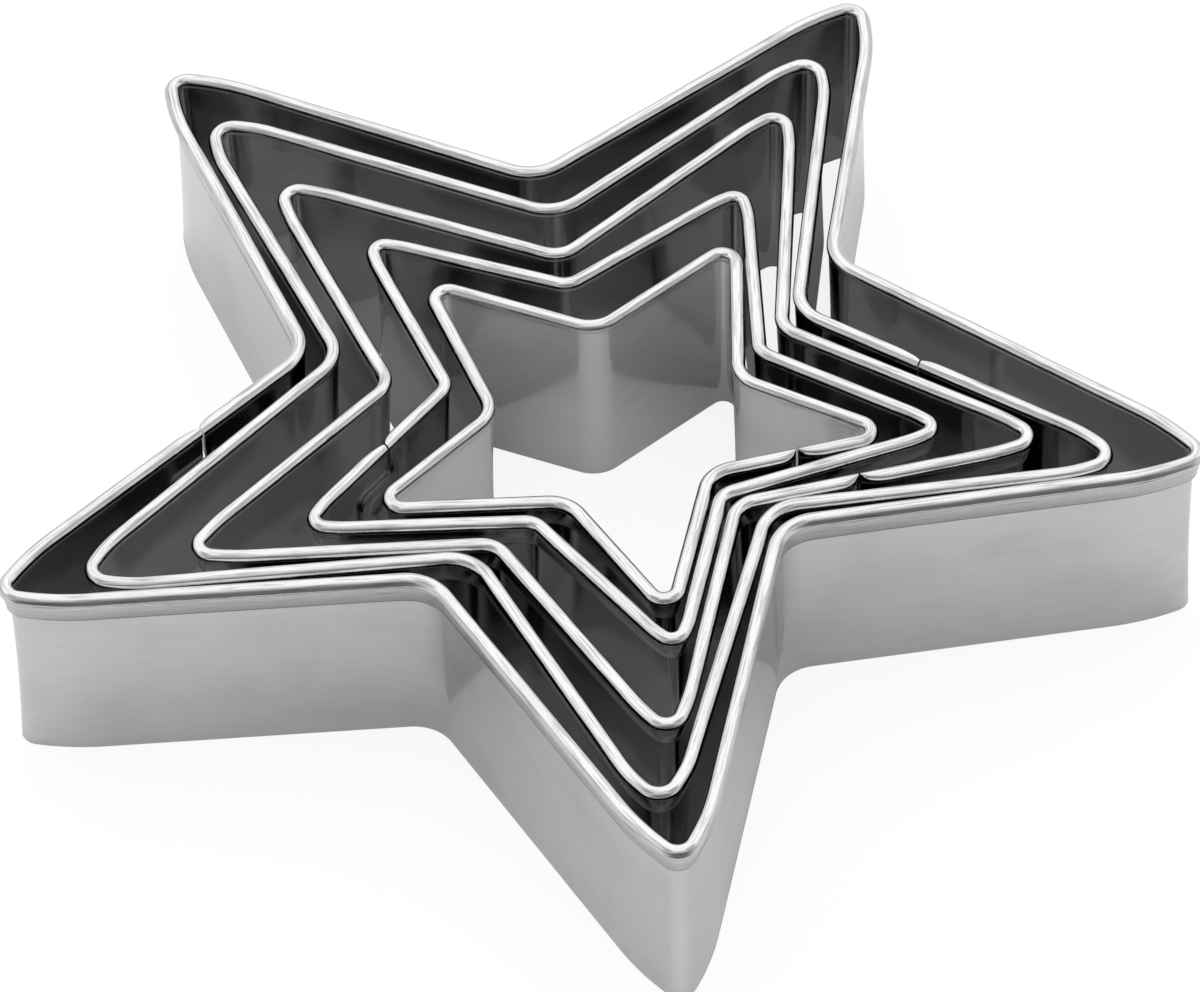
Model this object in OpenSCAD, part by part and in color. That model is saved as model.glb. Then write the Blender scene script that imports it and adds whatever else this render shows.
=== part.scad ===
// A nest of five star cookie cutters. Each cutter is one strip of sheet steel, bent into a star,
// with its top edge rolled outwards and its ends lapped and spot welded.
// Z is up, the cutting edges stand on Z = 0, and X = Y = 0 is the middle of the largest cutter's box.

/* [Steel strip] */
// Height of every cutter, from the cutting edge to the top of the rim
cutter_h = 21.3; // [16:0.1:30]
// Thickness of the sheet steel
sheet_t = 0.35; // [0.3:0.01:0.4]
// Outside diameter of the rolled rim
rim_d = 1.2; // [1.1:0.05:1.4]
// Distance from the top of the rim down to the lower edge of the hem
hem_h = 3.4; // [2:0.1:3.5]

/* [Seam] */
// Gap between the two ends of a strip along the rim
butt_gap = 0.2; // [0.1:0.05:0.3]
// Length over which the rolled rim is cut away to a point beside the gap
rim_taper = 2.4; // [1.5:0.1:3]
// Width of the point in which the rim ends beside the gap
rim_point = 0.4; // [0.38:0.01:0.5]
// Distance from the top of the rim down to the lap
lap_drop = 3.8; // [3.6:0.1:6]
// Length of the lap behind the other end
lap_l = 4.6; // [4:0.1:5]
// Length of the step from the wall into the lap
lap_step_l = 1.6; // [1:0.1:2]
// Gap between the lapped sheets
lap_gap = 0.05; // [0.03:0.01:0.1]
// Radius of the lap's upper corner
lap_corner_r = 1.4; // [0.5:0.1:2]
// Diameter of a spot weld
weld_d = 2.2; // [1.6:0.1:2.6]
// Depth of the dent that a spot weld leaves in each face
weld_dent = 0.08; // [0.04:0.01:0.1]
// Distance from a spot weld's middle to the end of the lap
weld_inset = 2.2; // [1.8:0.1:2.6]
// Distance from the upper spot weld's middle to the top of the lap
upper_weld_drop = 2.2; // [1.8:0.1:4]
// Height of the lower spot weld's middle
lower_weld_z = 4.5; // [3:0.1:6]

/* [Largest cutter] */
// Distance from the middle to the corner of a tip, before rounding
tip_reach = 64.5; // [60:0.5:75]
// Distance from the middle to the corner of a notch, before rounding
notch_reach = 28; // [26:0.5:32]
// Smallest radius at the end of a tip
largest_tip_r = 1.6; // [1.4:0.1:2.4]
// Radius of the gentle bends beside it
largest_flank_r = 26; // [22:1:34]
// Distance from a tip's corner to the start of a gentle bend
largest_flank_l = 12.5; // [10:0.5:14]
// Radius in a notch
largest_notch_r = 4.5; // [3:0.5:6]
// Distance of the seam from the left tip's corner
largest_seam = 31.4; // [24:0.2:34]

/* [Large cutter] */
// Clear space to the largest cutter's rim beside the tips
large_tip_gap = 1.9; // [1.7:0.05:2.4]
// Clear space to it beside the notches
large_notch_gap = 2.2; // [2:0.05:2.8]
// Place in the nest, to the right of the largest cutter's middle
large_x = 0; // [-0.2:0.1:0.2]
// Place in the nest, behind the largest cutter's middle
large_y = -1; // [-1.2:0.1:-0.8]
// Turn in the nest, anticlockwise
large_turn = 0.5; // [0.3:0.1:0.7]
// Smallest radius at the end of a tip
large_tip_r = 1.8; // [1.4:0.1:2.4]
// Radius of the gentle bends beside it
large_flank_r = 14; // [12:1:20]
// Distance from a tip's corner to the start of a gentle bend
large_flank_l = 9.5; // [8:0.5:11]
// Radius in a notch
large_notch_r = 4.3; // [3:0.1:5]
// Distance of the seam from the upper right notch's corner
large_seam = 13.9; // [11:0.1:20]

/* [Middle cutter] */
// Clear space to the large cutter's rim beside the tips
middle_tip_gap = 2.6; // [2.3:0.05:3.2]
// Clear space to it beside the notches
middle_notch_gap = 2.15; // [2:0.05:2.6]
// Place in the nest, to the right of the largest cutter's middle
middle_x = 1; // [0.8:0.1:1.2]
// Place in the nest, behind the largest cutter's middle
middle_y = -2.5; // [-2.7:0.1:-2.3]
// Turn in the nest, anticlockwise
middle_turn = 1.5; // [1.3:0.1:1.7]
// Smallest radius at the end of a tip
middle_tip_r = 1.5; // [1.4:0.1:2.2]
// Radius of the gentle bends beside it
middle_flank_r = 24; // [20:1:30]
// Distance from a tip's corner to the start of a gentle bend
middle_flank_l = 8; // [7:0.5:9]
// Radius in a notch
middle_notch_r = 2.8; // [2.4:0.1:4]
// Distance of the seam from the right tip's corner
middle_seam = 19.9; // [15:0.1:22]

/* [Small cutter] */
// Clear space to the middle cutter's rim beside the tips
small_tip_gap = 3.25; // [3:0.05:3.6]
// Clear space to it beside the notches
small_notch_gap = 1.75; // [1.7:0.05:2.2]
// Place in the nest, to the right of the largest cutter's middle
small_x = 2; // [1.8:0.1:2.2]
// Place in the nest, behind the largest cutter's middle
small_y = -3; // [-3.2:0.1:-2.8]
// Turn in the nest, anticlockwise
small_turn = 3; // [2.8:0.1:3.2]
// Smallest radius at the end of a tip
small_tip_r = 1.2; // [1.2:0.1:1.8]
// Radius of the gentle bends beside it
small_flank_r = 12; // [10:1:16]
// Distance from a tip's corner to the start of a gentle bend
small_flank_l = 5; // [4:0.5:6]
// Radius in a notch
small_notch_r = 2.1; // [1.8:0.1:3]
// Distance of the seam from the left tip's corner
small_seam = 13.3; // [11:0.1:17]

/* [Smallest cutter] */
// Clear space to the small cutter's rim beside the tips
smallest_tip_gap = 1.6; // [1.55:0.05:2]
// Clear space to it beside the notches
smallest_notch_gap = 2.75; // [2.7:0.05:3.2]
// Place in the nest, to the right of the largest cutter's middle
smallest_x = 3.5; // [3.4:0.1:3.6]
// Place in the nest, behind the largest cutter's middle
smallest_y = -5; // [-5.1:0.1:-4.9]
// Turn in the nest, anticlockwise
smallest_turn = 2.5; // [2.4:0.1:2.6]
// Smallest radius at the end of a tip
smallest_tip_r = 1.4; // [1.2:0.1:1.8]
// Radius of the gentle bends beside it
smallest_flank_r = 20; // [16:1:26]
// Distance from a tip's corner to the start of a gentle bend
smallest_flank_l = 4; // [3.5:0.5:5]
// Radius in a notch
smallest_notch_r = 3.3; // [2.4:0.1:4]
// Distance of the seam from the right tip's corner
smallest_seam = 9.9; // [9.4:0.1:11]

/* [Hidden] */

// Corners of a star, counted clockwise from the tip at the back left: tips are even, notches odd
CORNERS = 10;
corner_angle = 360 / CORNERS;
first_tip_angle = 126;

// Each star was bent by hand, so its corners lie a little off the regular star: so many steps
// outwards, and so many steps anticlockwise
bend_step = 0.25;
out_steps = [
    [0, 4, 0, 5, 0, -5, 2, 4, 2, -4],
    [2, 2, -2, -2, -2, -1, 2, 0, 0, 0],
    [0, 0, 4, 2, -2, -2, 0, 4, -2, 0],
    [0, 0, -2, -1, 0, 0, 0, 2, 0, -4],
    [0, 0, -3, 0, -3, -3, -2, 2, 0, 2]];
side_steps = [
    [-2, 2, 0, 16, -2, 2, 4, -2, 0, 0],
    [0, -4, 2, 0, -6, 6, -2, 4, 2, -4],
    [2, 0, 4, 0, 2, -2, 0, 0, -2, 2],
    [-2, 2, 0, -6, 0, -6, 2, 2, 0, -2],
    [0, 2, 1, -4, 2, 0, -2, 0, -4, 4]];

// Sizes of the five cutters, from the largest to the smallest
tip_gaps = [0, large_tip_gap, middle_tip_gap, small_tip_gap, smallest_tip_gap];
notch_gaps = [0, large_notch_gap, middle_notch_gap, small_notch_gap, smallest_notch_gap];
places = [
    [0, 0],
    [large_x, large_y],
    [middle_x, middle_y],
    [small_x, small_y],
    [smallest_x, smallest_y]];
turns = [0, large_turn, middle_turn, small_turn, smallest_turn];
tip_rs = [largest_tip_r, large_tip_r, middle_tip_r, small_tip_r, smallest_tip_r];
flank_rs = [largest_flank_r, large_flank_r, middle_flank_r, small_flank_r, smallest_flank_r];
flank_ls = [largest_flank_l, large_flank_l, middle_flank_l, small_flank_l, smallest_flank_l];
notch_rs = [largest_notch_r, large_notch_r, middle_notch_r, small_notch_r, smallest_notch_r];
seams = [largest_seam, large_seam, middle_seam, small_seam, smallest_seam];
// The corner before each seam
seam_corners = [8, 3, 4, 8, 4];

// The strip's section: x is outwards from the middle of the rim, and y is up
rim_r = rim_d / 2;
rim_z = cutter_h - rim_r;
hem_z = cutter_h - hem_h;
wall_in = -rim_r;
wall_out = wall_in + sheet_t;
// The hem comes out of the rim at this angle below the horizontal
hem_angle = 50;
// Straight runs and tips are this much thinner on each side than the bends between them, and
// reach this far into those
joint_step = 0.02;
joint_l = 0.15;
// The wall beside the lap: a narrow slit parts the rim from the lap, which lies further in
lap_z = cutter_h - lap_drop;
lap_slit = 0.1;
lap_top = lap_z - lap_slit;
lap_offset = sheet_t + lap_gap;
inner_end_l = max(lap_step_l, rim_taper) + 2 * joint_l;
taper_slope = (rim_taper - butt_gap / 2) / (rim_d - rim_point);
weld_s = weld_inset - lap_l;
weld_zs = [lap_top - upper_weld_drop, lower_weld_z];
// Cuts run past the faces that they cut by this much
past = 1;
$fn = 120;

function unit(v) = v / norm(v);
function left(v) = [-v[1], v[0]];
function polar(r, a) = [r * cos(a), r * sin(a)];
function angle(v) = atan2(v[1], v[0]);
// The turn from angle a to angle b, between -180 and 180
function turn(a, b) = (b - a) - 360 * round((b - a) / 360);

// Half the angle between the two walls of a tip of a regular star
function half_tip(reach) =
    atan2(reach[1] * sin(corner_angle), reach[0] - reach[1] * cos(corner_angle));
// Reach of the tips and of the notches of cutter k: a rim and the clear space in from the next
function reaches(k) = k == 0 ? [tip_reach, notch_reach] : inner_reaches(reaches(k - 1), k);
function inner_reaches(outer, k) = [
    outer[0] - (rim_d + tip_gaps[k]) / sin(half_tip(outer)),
    outer[1] - (rim_d + notch_gaps[k]) / sin(half_tip(outer) + corner_angle)];
// Corner i of cutter k, where the middle lines of two straight rims cross
function corner(k, i) = let(
    j = i % CORNERS,
    out = polar(1, first_tip_angle - corner_angle * j + turns[k]))
    places[k] + out * (reaches(k)[j % 2] + out_steps[k][j] * bend_step)
        + left(out) * side_steps[k][j] * bend_step;

// A bend is [centre, radius, start angle, sweep]. The strip runs clockwise, so a bend round a
// tip has a negative sweep and a bend in a notch a positive one.
// The three bends of a tip: a gentle one, the tip itself, and a gentle one
function tip_bends(k, i) = let(
    at = corner(k, i),
    back = unit(corner(k, i + CORNERS - 1) - at),
    on = unit(corner(k, i + 1) - at),
    out = -unit(back + on),
    half = acos(-back * out),
    gentle = flank_rs[k] * [-sin(half), -cos(half)] + flank_ls[k] * [-cos(half), sin(half)],
    tip_x = gentle[0] + sqrt(pow(flank_rs[k] - tip_rs[k], 2) - pow(gentle[1], 2)),
    meet = angle([tip_x, 0] - gentle),
    start = 90 - half)
    [[at + out * gentle[0] + left(out) * gentle[1], flank_rs[k], angle(out) + start, meet - start],
     [at + out * tip_x, tip_rs[k], angle(out) + meet, -2 * meet],
     [at + out * gentle[0] - left(out) * gentle[1], flank_rs[k], angle(out) - meet, meet - start]];
// The one bend of a notch
function notch_bends(k, i) = let(
    at = corner(k, i),
    back = unit(corner(k, i + CORNERS - 1) - at),
    on = unit(corner(k, i + 1) - at),
    out = unit(back + on),
    half = acos(back * out),
    start = angle(left(back)))
    [[at + out * notch_rs[k] / sin(half), notch_rs[k], start, turn(start, angle(-left(on)))]];
function bends(k, i) = i % 2 == 0 ? tip_bends(k, i) : notch_bends(k, i);
function bend_start(b) = b[0] + polar(b[1], b[2]);
function bend_end(b) = b[0] + polar(b[1], b[2] + b[3]);
// The straight run from corner i to the next one, as [start, end]
function run_ends(k, i) = let(here = bends(k, i), next = bends(k, (i + 1) % CORNERS))
    [bend_end(here[len(here) - 1]), bend_start(next[0])];

// How far the largest cutter reaches in one direction
function reach_to(dir) =
    max([for (i = [0:2:CORNERS - 1]) tip_bends(0, i)[1][0] * dir + tip_rs[0] + rim_r]);
middle = [reach_to([1, 0]) - reach_to([-1, 0]), reach_to([0, 1]) - reach_to([0, -1])] / 2;

// The sheet's section: wall, rolled rim and hem, with its faces set in by e except at the bottom
module section(e) {
    difference() {
        union() {
            translate([wall_in + e, 0])
                square([sheet_t - 2 * e, rim_z]);
            translate([0, rim_z])
                circle(rim_r - e);
            polygon([
                [wall_out - sheet_t / 2, hem_z + e],
                [wall_out + sheet_t - e, hem_z + e],
                [0, rim_z] + polar(rim_r - e, -hem_angle),
                [0, rim_z],
                [wall_out - sheet_t / 2, rim_z]]);
        }
        translate([0, rim_z])
            circle(rim_r - sheet_t + e);
    }
}

// The part of the section above the lap
module upper_section() {
    intersection() {
        section(0);
        translate([-rim_d, lap_z])
            square([2 * rim_d, cutter_h]);
    }
}

// Puts its child, drawn with x outwards, y up and z along the strip, at a point of the strip
module along(from, to) {
    translate(from)
        rotate([90, 0, angle(left(to - from))])
            children();
}

// A straight run, a hair thinner than the bends, which reaches into the bend at each end
module run(from, to) {
    dir = unit(to - from);
    along(from - dir * joint_l, to)
        linear_extrude(norm(to - from) + 2 * joint_l)
            section(joint_step);
}

// A bend, as it is or a hair thinner with its ends reaching into its neighbours
module bend(b, thinner = false) {
    more = thinner ? joint_l / b[1] * 180 / PI : 0;
    e = thinner ? joint_step : 0;
    translate(b[0])
        if (b[3] < 0)
            rotate([0, 0, b[2] + b[3] - more])
                rotate_extrude(angle = -b[3] + 2 * more)
                    translate([b[1], 0])
                        section(e);
        else
            rotate([0, 0, b[2]])
                rotate_extrude(angle = b[3])
                    translate([b[1], 0])
                        mirror([1, 0])
                            section(0);
}

// What the rolled rim and hem lose beside the seam, so that the rim ends in a point on the wall.
// In this module and the next ones, z = 0 is the middle of the seam and z runs along the strip.
module rim_cut() {
    translate([0, cutter_h + past, 0])
        rotate([90, 0, 0])
            linear_extrude(hem_h + 2 * past)
                polygon([
                    [wall_in + rim_point, -past],
                    [wall_in + rim_point, butt_gap / 2],
                    [rim_r + past, rim_taper + past * taper_slope],
                    [rim_r + past, -past]]);
}

// Dents of the spot welds, cut into the face at x on the side towards dir
module weld_dents(x, dir) {
    for (z = weld_zs)
        translate([x - dir * weld_dent, z, weld_s])
            rotate([0, dir * 90, 0])
                cylinder(d = weld_d, h = weld_dent + past);
}

// The end that lies outside at the lap
module outer_end() {
    difference() {
        mirror([0, 0, 1])
            difference() {
                translate([0, 0, butt_gap / 2])
                    linear_extrude(lap_l + 2 * joint_l)
                        section(0);
                rim_cut();
            }
        weld_dents(wall_out, 1);
    }
}

// The rim of the other end, above the lap
module inner_end_rim() {
    difference() {
        translate([0, 0, butt_gap / 2])
            linear_extrude(inner_end_l - butt_gap / 2)
                upper_section();
        rim_cut();
    }
}

// The wall of the other end, which steps in and laps behind the first
module lap() {
    difference() {
        translate([0, lap_top, 0])
            rotate([90, 0, 0])
                linear_extrude(lap_top)
                    polygon([
                        [wall_out - lap_offset, -lap_l],
                        [wall_out - lap_offset, 0],
                        [wall_out, lap_step_l],
                        [wall_out, inner_end_l],
                        [wall_in, inner_end_l],
                        [wall_in, lap_step_l],
                        [wall_in - lap_offset, 0],
                        [wall_in - lap_offset, -lap_l]]);
        translate([wall_in - lap_offset - past, lap_top - lap_corner_r, lap_corner_r - lap_l])
            rotate([0, 90, 0])
                difference() {
                    cube([lap_corner_r + past, lap_corner_r + past, sheet_t + 2 * past]);
                    translate([0, 0, -past])
                        cylinder(r = lap_corner_r, h = sheet_t + 4 * past);
                }
        weld_dents(wall_in - lap_offset, -1);
    }
}

// The weld metal between the two sheets, from the middle of one to the middle of the other
module weld_metal() {
    for (z = weld_zs)
        translate([wall_in - lap_offset + sheet_t / 2, z, weld_s])
            rotate([0, 90, 0])
                cylinder(d = weld_d, h = lap_offset);
}

module seam_run(from, to, seam) {
    dir = unit(to - from);
    run(from, seam - dir * (lap_l + butt_gap / 2 + 2 * joint_l));
    run(seam + dir * inner_end_l, to);
    along(seam, to) {
        outer_end();
        inner_end_rim();
        lap();
        weld_metal();
    }
}

module cutter(k) {
    closing = seam_corners[k];
    closing_ends = run_ends(k, closing);
    closing_dir = unit(closing_ends[1] - closing_ends[0]);
    translate([-middle[0], -middle[1], 0]) {
        for (i = [0:CORNERS - 1])
            if (i != closing)
                run(run_ends(k, i)[0], run_ends(k, i)[1]);
        for (i = [0:CORNERS - 1])
            for (j = [0:len(bends(k, i)) - 1])
                bend(bends(k, i)[j], thinner = j == 1);
        seam_run(closing_ends[0], closing_ends[1], corner(k, closing) + closing_dir * seams[k]);
    }
}

module largest_cutter() {
    color("silver")
        cutter(0);
}

module large_cutter() {
    color("silver")
        cutter(1);
}

module middle_cutter() {
    color("silver")
        cutter(2);
}

module small_cutter() {
    color("silver")
        cutter(3);
}

module smallest_cutter() {
    color("silver")
        cutter(4);
}

largest_cutter();
large_cutter();
middle_cutter();
small_cutter();
smallest_cutter();
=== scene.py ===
"""A nest of five star cookie cutters in bright sheet steel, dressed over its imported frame.

Lengths are written in millimetres, as on a drawing, and turned into metres where they enter a
mesh, a shader or the camera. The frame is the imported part's: Z is up, the cutting edges stand
on Z = 0, and the origin is the middle of the largest star's box.
"""
import logging
from collections.abc import Sequence
from dataclasses import dataclass, field
from enum import Enum
from typing import Any

import bmesh
import bpy
import numpy as np
from mathutils import Matrix, Vector


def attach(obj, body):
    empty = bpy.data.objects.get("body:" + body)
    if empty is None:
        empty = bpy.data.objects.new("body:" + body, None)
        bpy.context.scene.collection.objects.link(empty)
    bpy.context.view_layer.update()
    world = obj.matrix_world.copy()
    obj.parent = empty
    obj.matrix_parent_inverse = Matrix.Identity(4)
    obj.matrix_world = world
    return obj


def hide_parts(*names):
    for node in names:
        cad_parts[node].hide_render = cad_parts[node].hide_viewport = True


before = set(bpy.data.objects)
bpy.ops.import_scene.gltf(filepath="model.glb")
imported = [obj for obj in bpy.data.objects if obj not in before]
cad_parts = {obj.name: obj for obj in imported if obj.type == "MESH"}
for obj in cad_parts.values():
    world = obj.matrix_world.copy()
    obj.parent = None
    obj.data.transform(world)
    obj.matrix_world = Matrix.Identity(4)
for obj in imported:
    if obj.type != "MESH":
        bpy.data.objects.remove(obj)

MM = 0.001
TOUCH = 1e-4  # points nearer than this are one
UV_UNIT = 10.0  # millimetres of sheet in one unit of the UV map
SHARP_ANGLE = 38.0  # an edge that turns more than this many degrees stays sharp
ROUND_MIDDLE = 0.3  # how far in a round corner's middle lies, as a share of its radius
NOISE_MIDDLE = 0.5
LOG = logging.getLogger("cutters")
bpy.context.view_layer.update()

Stops = tuple[tuple[float, float], ...]
Colour = tuple[float, float, float]


def smooth(x: np.ndarray) -> np.ndarray:
    """Eases 0 to 1: 3x^2 - 2x^3 with x held between 0 and 1."""
    x = np.clip(x, 0.0, 1.0)
    return x * x * (3.0 - 2.0 * x)


def polar(angle: float) -> np.ndarray:
    """The unit vector at an angle in degrees, anticlockwise from the first axis."""
    return np.array([np.cos(np.radians(angle)), np.sin(np.radians(angle))])


def bearing(v: np.ndarray) -> float:
    """The angle of a plan vector in degrees."""
    return float(np.degrees(np.arctan2(v[1], v[0])))


def left(v: np.ndarray) -> np.ndarray:
    """A plan vector turned a quarter turn anticlockwise."""
    return np.stack([-v[..., 1], v[..., 0]], axis=-1)


def unit(v: np.ndarray) -> np.ndarray:
    """A vector brought to a length of one."""
    return v / np.linalg.norm(v)


def spread(stops: Sequence[float], steps: Sequence[float]) -> np.ndarray:
    """Numbers from the first stop to the last, in about the given step between each two.

    Args:
        stops: rising numbers, which are all kept.
        steps: the step after each stop but the last.

    Returns:
        The numbers.
    """
    parts = [
        np.linspace(a, b, max(1, int(round((b - a) / d))) + 1)[:-1]
        for a, b, d in zip(stops, stops[1:], steps)
    ]
    return np.concatenate([*parts, [stops[-1]]])


def arc(centre: np.ndarray, r: float, start: float, stop: float, steps: int) -> np.ndarray:
    """Points round a centre from one angle in degrees to another, as two rows."""
    a = np.radians(np.linspace(start, stop, steps + 1))
    return np.stack([centre[0] + r * np.cos(a), centre[1] + r * np.sin(a)])


class Corner(Enum):
    """The two kinds of corner of a star."""

    TIP = 0
    NOTCH = 1


@dataclass(frozen=True)
class Sheet:
    """The strip's section: a wall, a rim rolled outwards from its top, and the hem below it.

    Plan lengths are counted outwards from the middle line of the rim. hem_h is how far the
    hem's lower edge lies below the rim's top, and flare is how far the foot stands out.
    """

    height: float = 21.3
    thickness: float = 0.35
    rim_d: float = 1.2
    hem_h: float = 3.4
    edge_round: float = 0.06
    flare: float = 0.38

    @property
    def rim_r(self) -> float:
        """Radius of the rolled rim."""
        return self.rim_d / 2

    @property
    def rim_z(self) -> float:
        """Height of the middle of the rim."""
        return self.height - self.rim_r

    @property
    def hem_z(self) -> float:
        """Height of the hem's lower edge."""
        return self.height - self.hem_h

    @property
    def wall_in(self) -> float:
        """Place of the wall's inner face."""
        return -self.rim_r

    @property
    def wall_out(self) -> float:
        """Place of the wall's outer face."""
        return self.wall_in + self.thickness


@dataclass(frozen=True)
class Seam:
    """Where the strip's two ends meet: rims that taper out, a lap and its two spot welds.

    point_share is the share of the roll's depth that is left at its point. A dent's border, as
    a share of the weld's radius, lies at dent_reach, and it is eased over dent_ease.
    """

    butt_gap: float = 0.2
    outer_taper: float = 2.9
    inner_taper: float = 1.9
    point_share: float = 0.04
    lap_drop: float = 3.8
    lap_l: float = 4.6
    step_l: float = 1.6
    step_rise: float = 1.3
    lap_gap: float = 0.05
    corner_r: float = 1.4
    weld_d: float = 2.2
    weld_dent: float = 0.12
    weld_inset: float = 2.2
    upper_weld_drop: float = 2.2
    lower_weld_z: float = 4.5
    dent_reach: float = 1.05
    dent_ease: float = 0.3

    def lap_z(self, sheet: Sheet) -> float:
        """Height of the lap's upper edge."""
        return sheet.height - self.lap_drop

    def weld_heights(self, sheet: Sheet) -> tuple[float, float]:
        """Heights of the lower and the upper spot weld."""
        return self.lower_weld_z, self.lap_z(sheet) - self.upper_weld_drop


@dataclass(frozen=True)
class Star:
    """One star's plan, as the middle line of its rim.

    The corners are counted clockwise from the tip at the back left, tips even and notches odd.
    reach is how far out the tips and the notches of a regular star would lie. Each corner is so
    many quarter-millimetre steps further out and further anticlockwise, where the strip was
    bent a little off.
    """

    reach: tuple[float, float]
    place: tuple[float, float]
    turn: float
    tip_r: float
    flank_r: float
    flank_l: float
    notch_r: float
    seam_corner: int
    seam_at: float
    out_steps: tuple[int, ...]
    side_steps: tuple[int, ...]
    step: float = 0.25
    first_tip: float = 126.0
    corners: int = 10

    def corner(self, i: int) -> np.ndarray:
        """The point where two straight rims would meet.

        Args:
            i: the corner's number, counted clockwise.

        Returns:
            Its place in plan.
        """
        j = i % self.corners
        out = polar(self.first_tip - 360 / self.corners * j + self.turn)
        reach = self.reach[j % 2] + self.out_steps[j] * self.step
        return np.array(self.place) + reach * out + self.side_steps[j] * self.step * left(out)

    def bends(self, i: int) -> list[tuple[np.ndarray, float, float, float]]:
        """The arcs that round a corner, each tangent to the next.

        A notch is one arc of radius r about a point r / sin(half) from the corner, where half is
        half the angle between the walls. A tip has a gentle arc, a tight one and a gentle one.
        The gentle arc starts flank_l from the corner, and the tight one is centred on the
        corner's middle line where its circle touches the gentle arc from inside.

        Args:
            i: the corner's number.

        Returns:
            For each arc its centre, radius, start angle and sweep in degrees.
        """
        at = self.corner(i)
        back, on = unit(self.corner(i - 1) - at), unit(self.corner(i + 1) - at)
        if Corner(i % 2) is Corner.NOTCH:
            out = unit(back + on)
            half = np.arccos(back @ out)
            start = bearing(left(back))
            sweep = (bearing(-left(on)) - start + 180.0) % 360.0 - 180.0
            return [(at + out * self.notch_r / np.sin(half), self.notch_r, start, sweep)]
        out = -unit(back + on)
        half = np.arccos(-back @ out)
        gentle = self.flank_r * np.array([-np.sin(half), -np.cos(half)])
        gentle += self.flank_l * np.array([-np.cos(half), np.sin(half)])
        tip_x = gentle[0] + np.sqrt((self.flank_r - self.tip_r) ** 2 - gentle[1] ** 2)
        meet = bearing(np.array([tip_x, 0.0]) - gentle)
        start, axis = 90.0 - np.degrees(half), bearing(out)
        first = at + out * gentle[0] + left(out) * gentle[1]
        last = at + out * gentle[0] - left(out) * gentle[1]
        return [
            (first, self.flank_r, axis + start, meet - start),
            (at + out * tip_x, self.tip_r, axis + meet, -2.0 * meet),
            (last, self.flank_r, axis - meet, meet - start),
        ]

    def seam_point(self) -> np.ndarray:
        """The point of the rim's middle line where the strip's ends meet."""
        a, b = self.corner(self.seam_corner), self.corner(self.seam_corner + 1)
        return a + unit(b - a) * self.seam_at


@dataclass
class Path:
    """Stations along a strip: places, outward directions and lengths along the rim.

    Station 0 is at the seam, and the strip runs clockwise. bend_at holds the length at the
    middle of each corner, and bend_side is 1 for a tip and -1 for a notch. A straight run has
    steps of at most run_step. An arc has arc_least steps or more, none over arc_step degrees
    or much over arc_chord long.
    """

    star: Star
    middle: np.ndarray
    run_step: float = 2.0
    arc_step: float = 5.0
    arc_chord: float = 0.6
    arc_least: int = 4
    point: np.ndarray = field(init=False)
    normal: np.ndarray = field(init=False)
    along: np.ndarray = field(init=False)
    bend_at: np.ndarray = field(init=False)
    bend_side: np.ndarray = field(init=False)

    def __post_init__(self) -> None:
        """Lays the runs and arcs end to end and counts the length."""
        star = self.star
        here = star.seam_point()
        points, normals, middles, sides = [], [], [], []
        for i in range(star.seam_corner + 1, star.seam_corner + 1 + star.corners):
            arcs = star.bends(i % star.corners)
            sides.append(1.0 if Corner(i % 2) is Corner.TIP else -1.0)
            for centre, r, start, sweep in arcs:
                turns = np.linspace(0.0, 1.0, self._arc_steps(r, sweep) + 1)
                a = np.radians(start + sweep * turns)
                ring = np.stack([np.cos(a), np.sin(a)], axis=-1)
                if not points or np.linalg.norm(centre + r * ring[0] - here) > TOUCH:
                    run, outward = self._run(here, centre + r * ring[0])
                    points.append(run)
                    normals.append(outward)
                points.append(centre + r * ring[1:])
                normals.append(ring[1:] * (1.0 if sweep < 0 else -1.0))
                here = points[-1][-1]
            in_corner = sum(map(len, points[-len(arcs):]))
            middles.append(sum(map(len, points)) - in_corner // 2)
        run, outward = self._run(here, star.seam_point())
        points.append(run[1:])
        normals.append(outward[1:])
        self.point = np.concatenate(points)
        self.normal = np.concatenate(normals)
        gaps = np.linalg.norm(np.diff(self.point, axis=0), axis=1)
        self.along = np.append(0.0, np.cumsum(gaps))
        self.bend_at, self.bend_side = self.along[middles], np.array(sides)
        self.point = self.point - self.middle

    def _arc_steps(self, r: float, sweep: float) -> int:
        """How many steps an arc gets.

        Args:
            r: its radius.
            sweep: its sweep in degrees.

        Returns:
            The number of steps.
        """
        by_turn = int(np.ceil(abs(sweep) / self.arc_step))
        by_length = int(abs(np.radians(sweep)) * r / self.arc_chord)
        return max(self.arc_least, by_turn, by_length)

    def _run(self, a: np.ndarray, b: np.ndarray) -> tuple[np.ndarray, np.ndarray]:
        """A straight run.

        Args:
            a: its start.
            b: its end.

        Returns:
            Evenly spaced points with both ends, and the outward direction at each.
        """
        n = max(1, int(np.ceil(np.linalg.norm(b - a) / self.run_step)))
        t = np.linspace(0.0, 1.0, n + 1)[:, None]
        return a + (b - a) * t, np.repeat(left(unit(b - a))[None], n + 1, axis=0)

    @property
    def length(self) -> float:
        """Length once round the star."""
        return float(self.along[-1])

    def at(self, s: np.ndarray) -> tuple[np.ndarray, np.ndarray]:
        """Places and outward directions at any lengths along the strip.

        Between stations both are taken linearly, and before the seam the first run goes on
        straight, as the lap does.

        Args:
            s: lengths from the seam.

        Returns:
            The places and the unit outward directions.
        """
        inside = np.clip(s, 0.0, self.length)
        place, out = (
            np.stack([np.interp(inside, self.along, rows[:, k]) for k in (0, 1)], axis=-1)
            for rows in (self.point, self.normal))
        out = out / np.linalg.norm(out, axis=-1, keepdims=True)
        ahead = -left(self.normal[0])
        return place + (s - inside)[:, None] * ahead, out


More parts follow.
